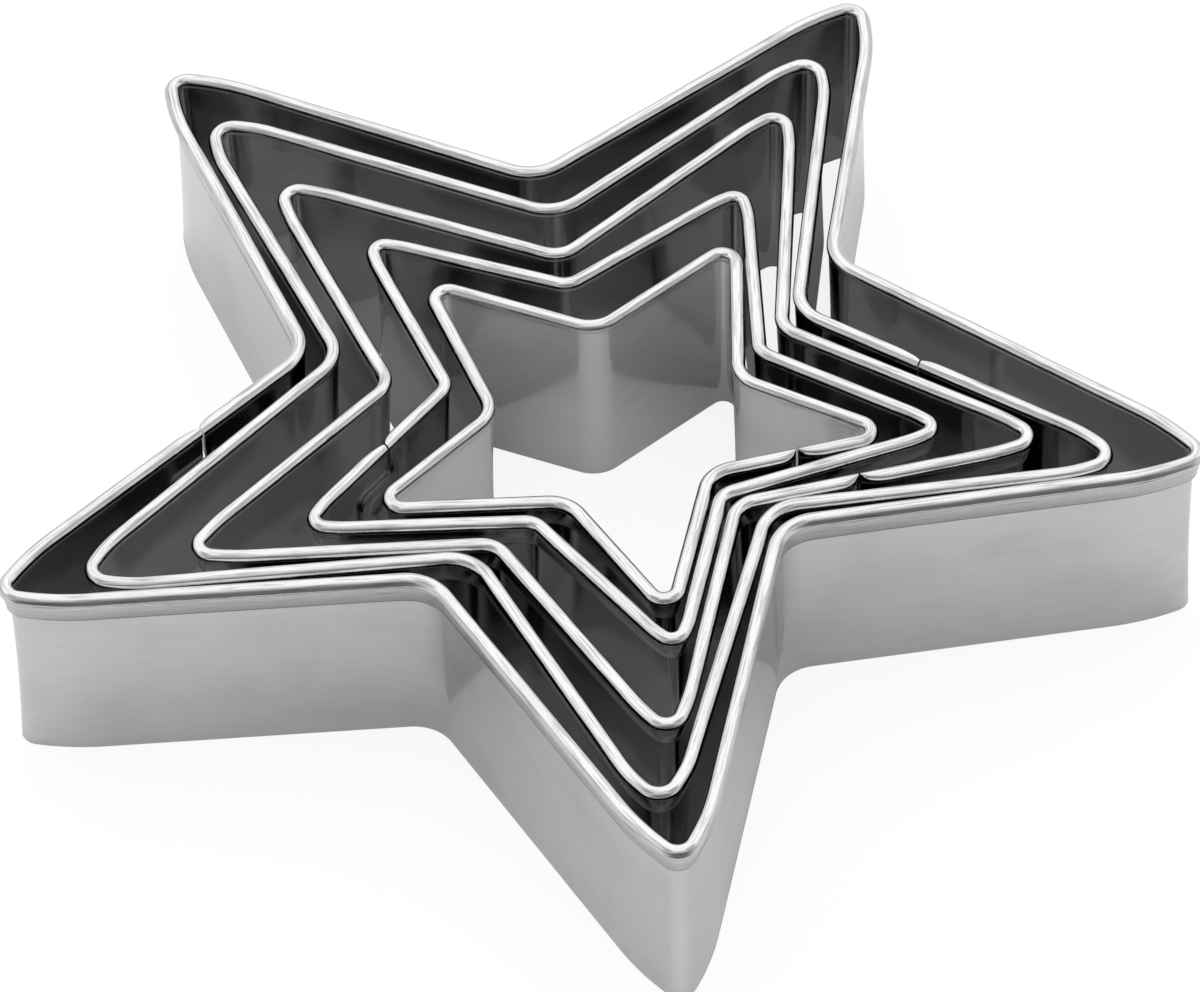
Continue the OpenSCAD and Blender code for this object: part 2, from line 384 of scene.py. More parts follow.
@dataclass(frozen=True)
class RimForm:
    """The form of the rolled rim and its hem, in the section's plane.

    The roll is a row of arcs, each tangent to the one before and given as its radius, the angle
    where it ends and its steps: a hollow one out of the inner face, one over the top, a wide one
    down the front and a small one underneath. One more, the tuck, leads into the hem. A hollow
    arc has a negative radius. hem_lean is how far the hem's face leans inwards at its top and at
    its bottom, in degrees. The face ends in a round edge, behind which a narrow gap goes up.
    """

    arcs: tuple[tuple[float, float, int], ...] = (
        (-0.3, 212.0, 5), (0.70, 38.0, 26), (1.15, 12.0, 8), (0.12, -62.0, 8))
    tuck_r: float = -0.42
    tuck_steps: int = 7
    hem_lean: tuple[float, float] = (-6.0, 26.0)
    edge_l: float = 0.2
    edge_ease: float = 0.01
    edge_end: float = -165.0
    edge_steps: int = 9
    gap_w: float = 0.05
    gap_h: tuple[float, float] = (0.5, 0.62)

    def roll(self, sheet: Sheet) -> np.ndarray:
        """The roll: a little proud inside, round on top, flatter in front, tight below.

        The first arc starts at 180 degrees, where it goes straight up as the wall does. Each
        arc's centre is the last point less the radius times the unit vector at the angle where
        the arc starts.

        Args:
            sheet: the strip's section.

        Returns:
            Its points as two rows, from the inner face to the hem.
        """
        pieces, start = [np.zeros((2, 1))], 180.0
        for r, stop, steps in (*self.arcs, (self.tuck_r, -self.hem_lean[0], self.tuck_steps)):
            centre = pieces[-1][:, -1] - r * polar(start)
            pieces.append(arc(centre, r, start, stop, steps)[:, 1:])
            start = stop
        points = np.concatenate(pieces, axis=1)
        return points + np.array([[sheet.wall_in], [sheet.height - points[1].max()]])

    def hem(self, sheet: Sheet, top: np.ndarray) -> np.ndarray:
        """The hem: a face that leans in more the lower it is, its round edge, and the gap.

        Each point of the face is the one above less the way down times the tangent of the mean
        lean of the two.

        Args:
            sheet: the strip's section.
            top: the roll's last point.

        Returns:
            Its points as two rows, from below the roll to the wall behind the hem.
        """
        edge_r = sheet.thickness / 2 - self.edge_ease
        low = sheet.hem_z + edge_r
        z = np.array([top[1], low + self.edge_l, low])
        first, last = self.hem_lean
        fall = top[1] - z
        lean = np.radians(first + (last - first) * fall / fall[-1])
        inwards = np.diff(fall) * np.tan((lean[1:] + lean[:-1]) / 2)
        x = top[0] - np.append(0.0, np.cumsum(inwards))
        centre = np.array([x[-1], z[-1]]) - edge_r * polar(-last)
        edge = arc(centre, edge_r, -last, self.edge_end, self.edge_steps)[:, 1:]
        gap_x = [sheet.wall_out + self.gap_w, sheet.wall_out]
        gap_z = [edge[1, -1] + h for h in self.gap_h]
        return np.concatenate([np.stack([x, z])[:, 1:], edge, np.array([gap_x, gap_z])], axis=1)


@dataclass(frozen=True)
class PaintedShade:
    """Where shade is painted: about the hem's lower edge, behind the hem, on its face and in the
    tuck.

    edge is the band about the lower edge, as heights from it. Points within behind_w of the
    wall count as behind the hem. On the face the painted shade begins face_h above the edge and
    grows by one over face_fade on the way down, but no further than face_most. tuck is its amount
    at three points, the middle one tuck_at points before the roll's end.
    """

    edge: tuple[float, float] = (-0.1, 0.3)
    behind_w: float = 0.06
    face_h: float = 2.3
    face_fade: float = 5.0
    face_most: float = 0.3
    tuck: tuple[float, float, float] = (0.3, 0.5, 0.3)
    tuck_at: int = 4

    def on_hem(self, sheet: Sheet, across: np.ndarray, up: np.ndarray) -> np.ndarray:
        """How much shade is painted outside the wall.

        Args:
            sheet: the strip's section.
            across: the outline's places outwards.
            up: the outline's heights.

        Returns:
            Its amount at each point, from 0 to 1.
        """
        low, above = sheet.hem_z, up > sheet.hem_z
        edge = (up > low + self.edge[0]) & (up < low + self.edge[1])
        behind = (across < sheet.wall_out + self.behind_w) & above
        face = np.clip((low + self.face_h - up) / self.face_fade, 0.0, self.face_most) * above
        return np.maximum(edge | behind, face)


@dataclass
class Profile:
    """The closed outline of the section, from the inner face's foot over the rim to the outer.

    across and up are the outline's points. side runs from 0 on the inner face to 1 on the
    outer, and length is the distance along the outline. rim is 1 on the rolled rim, and the
    shade mask is how much shade is painted into the colour. Both faces have face_steps from
    the foot up, fine over the two spot welds and weld_margin beyond them.
    """

    sheet: Sheet
    seam: Seam
    form: RimForm = RimForm()
    darkening: PaintedShade = PaintedShade()
    face_steps: tuple[float, ...] = (0.8, 0.28, 1.4, 0.28, 0.35)
    weld_margin: float = 0.2
    neck_step: float = 0.5
    gap_step: float = 0.3
    foot_side: tuple[float, ...] = (0.9, 0.8, 0.2, 0.1)
    across: np.ndarray = field(init=False)
    up: np.ndarray = field(init=False)
    side: np.ndarray = field(init=False)
    rim: np.ndarray = field(init=False)
    crevice: np.ndarray = field(init=False)
    length: np.ndarray = field(init=False)

    def __post_init__(self) -> None:
        """Walks round the section: inner face, roll, hem, gap, outer face and foot."""
        c = self.sheet
        face, foot = self._face(), self._foot()
        roll = self.form.roll(c)
        hem = self.form.hem(c, roll[:, -1])
        inner_z = np.concatenate([face, spread([c.hem_z, roll[1, 0]], [self.neck_step])[1:-1]])
        outer_z = np.append(hem[1, -1] - self.gap_step, face[::-1])
        inner = np.stack([np.full(inner_z.size, c.wall_in), inner_z])
        outer = np.stack([np.full(outer_z.size, c.wall_out), outer_z])
        self.across, self.up = np.concatenate([inner, roll, hem, outer, foot], axis=1)
        ring = np.stack([np.append(rows, rows[0]) for rows in (self.across, self.up)])
        self.length = np.append(0.0, np.cumsum(np.linalg.norm(np.diff(ring), axis=0)))

        over, after = np.linspace(0.0, 1.0, roll.shape[1]), np.ones(hem.shape[1] + outer_z.size)
        self.side = np.concatenate([np.zeros(inner_z.size), over, after, self.foot_side])
        number, roll_end = np.arange(self.up.size), inner_z.size + roll.shape[1]
        self.rim = 1.0 * ((number >= inner_z.size) & (number < roll_end))
        # Shade painted into the colour: at the hem's lower edge, behind the hem, down its face and
        # in the tuck
        outside = (self.side == 1.0) & (self.rim == 0.0)
        self.crevice = np.where(outside, self.darkening.on_hem(c, self.across, self.up), 0.0)
        tuck = roll_end - self.darkening.tuck_at
        self.crevice[tuck - 1:tuck + 2] = self.darkening.tuck

    def _face(self) -> np.ndarray:
        """A face's points, from above the cutting edge to the hem's lower edge.

        Returns:
            Their heights.
        """
        reach = self.seam.weld_d / 2 + self.weld_margin
        welds = [z + d for z in self.seam.weld_heights(self.sheet) for d in (-reach, reach)]
        return spread([self.sheet.edge_round, *welds, self.sheet.hem_z], self.face_steps)

    def _foot(self) -> np.ndarray:
        """The cutting edge with its two round corners, from the outer face to the inner.

        Returns:
            Its points as two rows.
        """
        c, r = self.sheet, self.sheet.edge_round
        mid = ROUND_MIDDLE * r
        x = [c.wall_out - mid, c.wall_out - r, c.wall_in + r, c.wall_in + mid]
        return np.array([x, [mid, 0.0, 0.0, mid]])


@dataclass(frozen=True)
class Wave:
    """The slight bow of a wall that was bent by hand."""

    depth: float = 0.05
    turns: tuple[int, ...] = (5, 8, 13, 21)
    seed: int = 1
    saddle: float = 0.22
    saddle_l: float = 5.0

    def bow(self, s: np.ndarray, z: np.ndarray, path: Path, sheet: Sheet) -> np.ndarray:
        """How far the wall bows outwards.

        It is a sum of sines along the strip, each with a random phase and weaker the shorter it
        is, less a saddle exp(-(d / saddle_l)^2) at each tip and plus one at each notch, where d
        is the distance from the bend. All is times a half sine up the wall, so that the rim and
        the foot stay put.

        Args:
            s: lengths along the strip, as a column.
            z: heights, as a row for each length.
            path: the strip's stations.
            sheet: the strip's section.

        Returns:
            The bow at each point, in millimetres.
        """
        phases = np.random.default_rng(self.seed).uniform(0.0, 2.0 * np.pi, len(self.turns))
        here = s % path.length
        wave = sum(
            np.sin(2.0 * np.pi * k * here / path.length + phase) / np.sqrt(k)
            for k, phase in zip(self.turns, phases))
        away = np.abs(here - path.bend_at)
        away = np.minimum(away, path.length - away)
        saddles = path.bend_side * np.exp(-((away / self.saddle_l) ** 2))
        saddle = saddles.sum(axis=1, keepdims=True)
        rise = np.sin(np.pi * np.clip(z / sheet.rim_z, 0.0, 1.0))
        return (self.depth * wave - self.saddle * saddle) * rise


@dataclass
class Cutter:
    """One cutter: a strip bent into a star, with its seam.

    Stations stand fine_step apart in the lap, up to start_l after the seam, and before it over
    the lap's length and past_lap more. In the lap's round corner they stand corner_step apart.
    Elsewhere they are the path's own, but for those within clear of the fine ones.
    """

    name: str
    star: Star
    sheet: Sheet
    seam: Seam
    middle: np.ndarray
    wave: Wave
    fine_step: float = 0.22
    corner_step: float = 0.14
    start_l: float = 4.0
    past_lap: float = 1.0
    clear: float = 0.3

    def lap_top(self, s: np.ndarray) -> np.ndarray:
        """The lap's upper edge, level but for its rounded corner at the lap's end.

        In the corner it is the quarter circle z = top - r + sqrt(r^2 - (r - d)^2), with d the
        distance from the lap's end.

        Args:
            s: lengths along the strip.

        Returns:
            Its height at each.
        """
        m = self.seam
        d = np.clip(s + m.lap_l, 0.0, m.corner_r)
        drop = m.corner_r - np.sqrt(np.maximum(0.0, m.corner_r**2 - (m.corner_r - d) ** 2))
        return m.lap_z(self.sheet) - drop

    def dents(self, distance: np.ndarray, z: np.ndarray) -> np.ndarray:
        """Depth of the spot welds' dents: flat in the middle, eased up at the border.

        Args:
            distance: distances along the strip from the welds' middles.
            z: heights.

        Returns:
            The depth at each point, in millimetres.
        """
        m = self.seam
        reach = [np.hypot(distance, z - h) / (m.weld_d / 2) for h in m.weld_heights(self.sheet)]
        return m.weld_dent * sum(smooth((m.dent_reach - r) / m.dent_ease) for r in reach)

    def mesh(self) -> bpy.types.Mesh:
        """Carries the section along the star and shapes it.

        The grid is stations by outline points. Each point starts at (across, up) of the section
        and is moved across by the flare, the bow, the step into the lap and the dents. Stations
        before the seam hold the lap, whose outline is the wall's alone.

        Returns:
            The mesh, in metres, with a UV map in centimetres of sheet and three masks: rim,
            weld and the painted shade.
        """
        c, m = self.sheet, self.seam
        path, outline = Path(self.star, self.middle), Profile(c, m)
        s, is_lap = self._stations(path)
        z = np.broadcast_to(outline.up, (s.size, outline.up.size))
        x = self._drawn_in(np.broadcast_to(outline.across, z.shape), s, is_lap, path)

        # The lap's outline is the wall's, cut off at its upper edge
        top = self.lap_top(s)
        cut = is_lap & (z > top)
        z = np.where(cut, top, z)
        turning = outline.side * (1.0 - outline.side) > 0.0
        plate = np.where(
            turning, c.wall_in + c.thickness * outline.side, np.clip(x, c.wall_in, c.wall_out))
        x = np.where(is_lap, plate, x)

        # The step into the lap
        at_start, at_end = s < path.length / 2, s > path.length / 2
        level = smooth((m.lap_z(c) + m.step_rise - z) / m.step_rise)
        x = x - (c.thickness + m.lap_gap) * smooth((m.step_l - s) / m.step_l) * level * at_start

        # Dents: on the lap's inner face, and on the outer face of the other end
        weld_s = m.weld_inset - m.lap_l
        on_lap = self.dents(s - weld_s, z) * (at_start & (outline.side < 0.5))
        on_end = self.dents(s - path.length - weld_s, z) * (at_end & (outline.side > 0.5))
        x = x + on_lap - on_end

        # Flare and bow
        x = x + c.flare * (1.0 - np.clip(z / c.rim_z, 0.0, 1.0))
        x = x + self.wave.bow(s, z, path, c)

        place, out = path.at(s[:, 0])
        co = np.empty((*x.shape, 3))
        co[..., :2] = place[:, None] + out[:, None] * x[..., None]
        co[..., 2] = z
        masks = {
            "rim": np.broadcast_to(outline.rim, x.shape),
            # Painted shade along the lap's upper edge
            "crevice": np.where(is_lap, 1.0 * (cut & (outline.rim > 0.0)), outline.crevice),
            "weld": np.clip((on_lap + on_end) / m.weld_dent, 0.0, 1.0),
        }
        u, v = np.broadcast_to(s, x.shape) / UV_UNIT, outline.length / UV_UNIT
        return grid_mesh(self.name, co * MM, u, v, masks)

    def _stations(self, path: Path) -> tuple[np.ndarray, np.ndarray]:
        """Lengths along the strip where the section stands.

        Args:
            path: the strip's own stations.

        Returns:
            The lengths as a column, and which of them belong to the lap.
        """
        m = self.seam
        half = m.butt_gap / 2
        lap = spread([-m.lap_l, -m.lap_l + m.corner_r, half], [self.corner_step, self.fine_step])
        start = spread([half, self.start_l], [self.fine_step])
        end = spread([path.length - m.lap_l - self.past_lap, path.length - half], [self.fine_step])
        between = (path.along > start[-1] + self.clear) & (path.along < end[0] - self.clear)
        s = np.concatenate([lap, start, path.along[between], end])[:, None]
        return s, np.arange(s.size)[:, None] < lap.size

    def _drawn_in(
        self, x: np.ndarray, s: np.ndarray, is_lap: np.ndarray, path: Path
    ) -> np.ndarray:
        """Draws the roll and the hem in to the wall beside the seam.

        What lies outside the wall is times a quarter ellipse over each end's taper, but for the
        share that is left at the point.

        Args:
            x: the outline's places outwards, as a row for each station.
            s: lengths along the strip, as a column.
            is_lap: which stations belong to the lap.
            path: the strip's stations.

        Returns:
            The new places outwards.
        """
        m, wall = self.seam, self.sheet.wall_out
        from_start = np.where(is_lap, np.inf, s - m.butt_gap / 2)
        from_end = path.length - m.butt_gap / 2 - s
        drawn = np.minimum(
            self._taper(from_start, m.inner_taper), self._taper(from_end, m.outer_taper))
        kept = m.point_share + (1.0 - m.point_share) * drawn
        return np.minimum(x, wall) + np.maximum(x - wall, 0.0) * kept

    @staticmethod
    def _taper(distance: np.ndarray, length: float) -> np.ndarray:
        """A quarter ellipse from 0 at the seam to 1 over the taper's length."""
        t = 1.0 - np.clip(distance / length, 0.0, 1.0)
        return np.sqrt(np.maximum(0.0, 1.0 - t * t))

    def build(self, steel: bpy.types.Material) -> None:
        """Makes the strip's object in place of its CAD node.

        Args:
            steel: the finish.
        """
        strip = bpy.data.objects.new(f"{self.name}_strip", self.mesh())
        strip.data.materials.append(steel)
        bpy.context.scene.collection.objects.link(strip)
        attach(strip, self.name)
        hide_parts(self.name)
        LOG.info("%s: %d faces", strip.name, len(strip.data.polygons))


def grid_mesh(
    name: str, co: np.ndarray, u: np.ndarray, v: np.ndarray, masks: dict[str, np.ndarray]
) -> bpy.types.Mesh:
    """A closed mesh of quads over a grid that goes round in its second direction.

    Vertex (i, j) has the number i * columns + j, and each face joins (i, j), (i + 1, j),
    (i + 1, j + 1) and (i, j + 1), with j + 1 counted round. The first and the last row are
    closed by a flat face each. Points that touch are joined into one, which takes out the
    faces that have no area.

    Args:
        name: the mesh's name.
        co: points, as rows by columns by three.
        u: first texture coordinate of each point.
        v: second texture coordinate of each column and of the closing one.
        masks: point attributes by name, as rows by columns.

    Returns:
        The mesh, smooth but for its sharp edges.
    """
    rows, cols = co.shape[:2]
    i, j = np.meshgrid(np.arange(rows - 1), np.arange(cols), indexing="ij")
    k = (j + 1) % cols
    quads = np.stack([i * cols + j, (i + 1) * cols + j, (i + 1) * cols + k, i * cols + k], axis=-1)
    first = np.arange(cols)
    last = (rows - 1) * cols + first[::-1]
    loops = np.concatenate([quads.ravel(), first, last])
    starts = np.append(np.arange(0, quads.size, 4), [quads.size, quads.size + cols])
    mesh = bpy.data.meshes.new(name)
    mesh.vertices.add(rows * cols)
    mesh.vertices.foreach_set("co", co.astype(np.float32).ravel())
    mesh.loops.add(loops.size)
    mesh.loops.foreach_set("vertex_index", loops.astype(np.int32))
    mesh.polygons.add(starts.size)
    mesh.polygons.foreach_set("loop_start", starts.astype(np.int32))

    # The UV map and the masks
    layer = mesh.uv_layers.new(name="sheet")
    flat_u = np.stack([u[:-1], u[1:], u[1:], u[:-1]], axis=-1).ravel()
    flat_v = np.stack([v[j], v[j], v[j + 1], v[j + 1]], axis=-1).ravel()
    flat_u = np.concatenate([flat_u, u.ravel()[first], u.ravel()[last]])
    flat_v = np.concatenate([flat_v, v[:-1], v[-2::-1]])
    layer.data.foreach_set("uv", np.stack([flat_u, flat_v], axis=-1).astype(np.float32).ravel())
    for key, values in masks.items():
        attribute = mesh.attributes.new(key, "FLOAT", "POINT")
        attribute.data.foreach_set("value", np.ascontiguousarray(values, np.float32).ravel())
    mesh.update()
    mesh.validate()

    joined = bmesh.new()
    joined.from_mesh(mesh)
    bmesh.ops.remove_doubles(joined, verts=joined.verts, dist=TOUCH * MM)
    joined.to_mesh(mesh)
    joined.free()
    mesh.polygons.foreach_set("use_smooth", np.ones(len(mesh.polygons), bool))
    mesh.set_sharp_from_angle(angle=np.radians(SHARP_ANGLE))
    return mesh


def grey(level: float) -> tuple[float, float, float, float]:
    """An opaque grey."""
    return level, level, level, 1.0


class Wire:
    """A socket of a material that adds Math nodes where it is used in a sum or product."""

    def __init__(self, graph: "Graph", socket: bpy.types.NodeSocket) -> None:
        """Keeps the socket and the graph that it is in."""
        self.graph = graph
        self.socket = socket

    def _math(self, operation: str, a: Any, b: Any) -> "Wire":
        """One Math node over two values or wires."""
        node = self.graph.node("ShaderNodeMath", {"operation": operation}, {0: a, 1: b})
        return Wire(self.graph, node.outputs[0])

    def __add__(self, other: Any) -> "Wire":
        """self + other."""
        return self._math("ADD", self, other)

    def __sub__(self, other: Any) -> "Wire":
        """self - other."""
        return self._math("SUBTRACT", self, other)

    def __mul__(self, other: Any) -> "Wire":
        """self * other."""
        return self._math("MULTIPLY", self, other)

    def __rsub__(self, other: Any) -> "Wire":
        """other - self."""
        return self._math("SUBTRACT", other, self)

    __radd__ = __add__
    __rmul__ = __mul__

    def largest(self, other: Any) -> "Wire":
        """The larger of self and other."""
        return self._math("MAXIMUM", self, other)

    def above(self, level: float, gain: float) -> "Wire":
        """What lies above a level, times a gain."""
        return (self - level).largest(0.0) * gain

    def swing(self, gain: float) -> "Wire":
        """How far noise is from its middle, times a gain."""
        return (self - NOISE_MIDDLE) * gain

    def halved(self) -> "Wire":
        """A direction's part from -1 to 1, brought to 0 to 1."""
        return self * 0.5 + 0.5


@dataclass(frozen=True)
class Grain:
    """Noise over the sheet, by how fine it is along and across the strip."""

    along: float
    across: float
    detail: float


class Graph:
    """The nodes of one material or world."""

    def __init__(self, owner: bpy.types.Material | bpy.types.World) -> None:
        """Starts an empty tree.

        Args:
            owner: the material or world.
        """
        owner.use_nodes = True
        self.tree = owner.node_tree
        self.tree.nodes.clear()

    def node(
        self, kind: str, settings: dict[str, Any], sockets: dict[int | str, Any]
    ) -> bpy.types.Node:
        """Adds a node.

        Args:
            kind: the node's type.
            settings: its properties, set first. The key stops holds a ramp's stops, as pairs
                of position and grey in order.
            sockets: values, wires or other nodes' sockets for its inputs, by number or name.

        Returns:
            The node.
        """
        node = self.tree.nodes.new(kind)
        for key, value in settings.items():
            if key == "stops":
                ramp = node.color_ramp.elements
                for between in value[1:-1]:
                    ramp.new(between[0])
                for stop, (position, level) in zip(ramp, value):
                    stop.position = position
                    stop.color = grey(level)
            else:
                setattr(node, key, value)
        for key, value in sockets.items():
            if isinstance(value, Wire):
                self.tree.links.new(value.socket, node.inputs[key])
            elif isinstance(value, bpy.types.NodeSocket):
                self.tree.links.new(value, node.inputs[key])
            else:
                node.inputs[key].default_value = value
        return node

    def mix(self, share: Any, first: Any, second: Any) -> bpy.types.NodeSocket:
        """A colour between two.

        The node has sockets for each type of data. Those for colours are inputs 6 and 7 and
        output 2.

        Args:
            share: how much of the second there is, from 0 to 1.
            first: the first colour.
            second: the second colour.

        Returns:
            The mixed colour's socket.
        """
        sockets = {0: share, 6: first, 7: second}
        return self.node("ShaderNodeMix", {"data_type": "RGBA"}, sockets).outputs[2]

    def ramp(self, stops: Stops, share: Any) -> Wire:
        """A grey read off a ramp."""
        node = self.node("ShaderNodeValToRGB", {"stops": stops}, {"Fac": share})
        return Wire(self, node.outputs[0])

    def noise(self, vector: Any, scale: float, detail: float) -> Wire:
        """Smooth noise from 0 to 1 over a vector."""
        sockets = {"Vector": vector, "Scale": scale, "Detail": detail}
        return Wire(self, self.node("ShaderNodeTexNoise", {}, sockets).outputs["Fac"])

    def mask(self, name: str) -> Wire:
        """A point attribute of the piece."""
        node = self.node("ShaderNodeAttribute", {"attribute_name": name}, {})
        return Wire(self, node.outputs["Fac"])

    def grain(self, grain: Grain) -> Wire:
        """Noise over the sheet's own UV map, drawn out along the strip.

        Args:
            grain: how fine it is.

        Returns:
            The noise.
        """
        uv = self.node("ShaderNodeUVMap", {"uv_map": "sheet"}, {}).outputs[0]
        sockets = {"Vector": uv, "Scale": (grain.along, grain.across, 1.0)}
        drawn = self.node("ShaderNodeMapping", {}, sockets).outputs[0]
        return self.noise(drawn, 1.0, grain.detail)


@dataclass(frozen=True)
class SheetSteel:
    """Bright rolled sheet steel, with faint rolling lines along the strip.

    lines and fine are the rolling lines, smear is soft handling marks, and streak runs along
    the rims. A pair named _dull or _grime is the level above which a noise shows and its gain.
    wall_rough and rim_rough are the roughness of the wall and the rim. The others that end in
    _rough add to it, and those that end in _high lift the bump.
    """

    name: str = "bright_sheet_steel"
    light: Colour = (0.71, 0.71, 0.715)
    dull: Colour = (0.55, 0.55, 0.555)
    # The dark colour of the painted shade and of the rim's pits and streaks
    darkening: Colour = (0.14, 0.135, 0.13)
    lines: Grain = Grain(1.3, 16.0, 4.0)
    fine: Grain = Grain(3.0, 90.0, 2.0)
    smear: Grain = Grain(0.9, 1.1, 3.0)
    streak: Grain = Grain(2.2, 42.0, 3.0)
    pit_scale: float = 4500.0
    pit_detail: float = 2.0
    lines_dull: tuple[float, float] = (0.5, 0.9)
    fine_dull: tuple[float, float] = (0.6, 2.0)
    smear_dull: tuple[float, float] = (0.48, 1.8)
    weld_dull: float = 0.5
    pit_grime: tuple[float, float] = (0.60, 0.8)
    streak_grime: tuple[float, float] = (0.5, 2.6)
    wall_rough: float = 0.10
    rim_rough: float = 0.09
    lines_rough: float = 0.05
    smear_rough: float = 0.12
    weld_rough: float = 0.12
    painted_shade_rough: float = 0.3
    lines_high: float = 0.4
    fine_high: float = 0.35
    pit_high: float = 2.5
    streak_high: float = 4.5
    bump: float = 0.12
    bump_h: float = 0.02

    def material(self) -> bpy.types.Material:
        """Builds the finish.

        Rolling lines are noise drawn out along the strip. They and soft smears change the
        roughness and the colour a little, and lift a very shallow bump. The rim is smoother,
        where the rolls burnished it, but finely pitted. The welds are duller. Shade is painted
        into
        the colour: the hem is greyer down to its lower edge, with dark lines there, behind the hem
        and in the tuck, and along the lap's upper edge.

        Returns:
            The material.
        """
        material = bpy.data.materials.new(self.name)
        g = Graph(material)
        rim, weld, crevice = (g.mask(name) for name in ("rim", "weld", "crevice"))
        grains = (self.lines, self.fine, self.smear, self.streak)
        lines, fine, smear, streak = (g.grain(grain) for grain in grains)
        place = g.node("ShaderNodeTexCoord", {}, {}).outputs["Object"]
        pits = g.noise(place, self.pit_scale, self.pit_detail)

        marks = smear.above(*self.smear_dull) + lines.above(*self.lines_dull)
        marks = marks + fine.above(*self.fine_dull) + weld * self.weld_dull
        # Shade painted into the colour by its mask, plus dark pits and streaks along the rim
        shade_and_dirt = crevice + rim * (pits.above(*self.pit_grime) + streak.above(*self.streak_grime))
        clean = g.mix(marks, (*self.light, 1.0), (*self.dull, 1.0))
        colour = g.mix(shade_and_dirt, clean, (*self.darkening, 1.0))
        rough = lines.swing(self.lines_rough) + smear.swing(self.smear_rough) + self.wall_rough
        rough = rough + rim * (self.rim_rough - self.wall_rough)
        rough = rough + weld * self.weld_rough + crevice * self.painted_shade_rough
        on_rim = pits * self.pit_high + streak * self.streak_high
        height = fine * self.fine_high + lines * self.lines_high + rim * on_rim
        bump = g.node("ShaderNodeBump", {}, {
            "Strength": self.bump, "Distance": self.bump_h * MM, "Height": height})
        shader = g.node("ShaderNodeBsdfPrincipled", {}, {
            "Base Color": colour, "Metallic": 1.0, "Roughness": rough,
            "Normal": bump.outputs[0]})
        g.node("ShaderNodeOutputMaterial", {}, {"Surface": shader.outputs[0]})
        return material


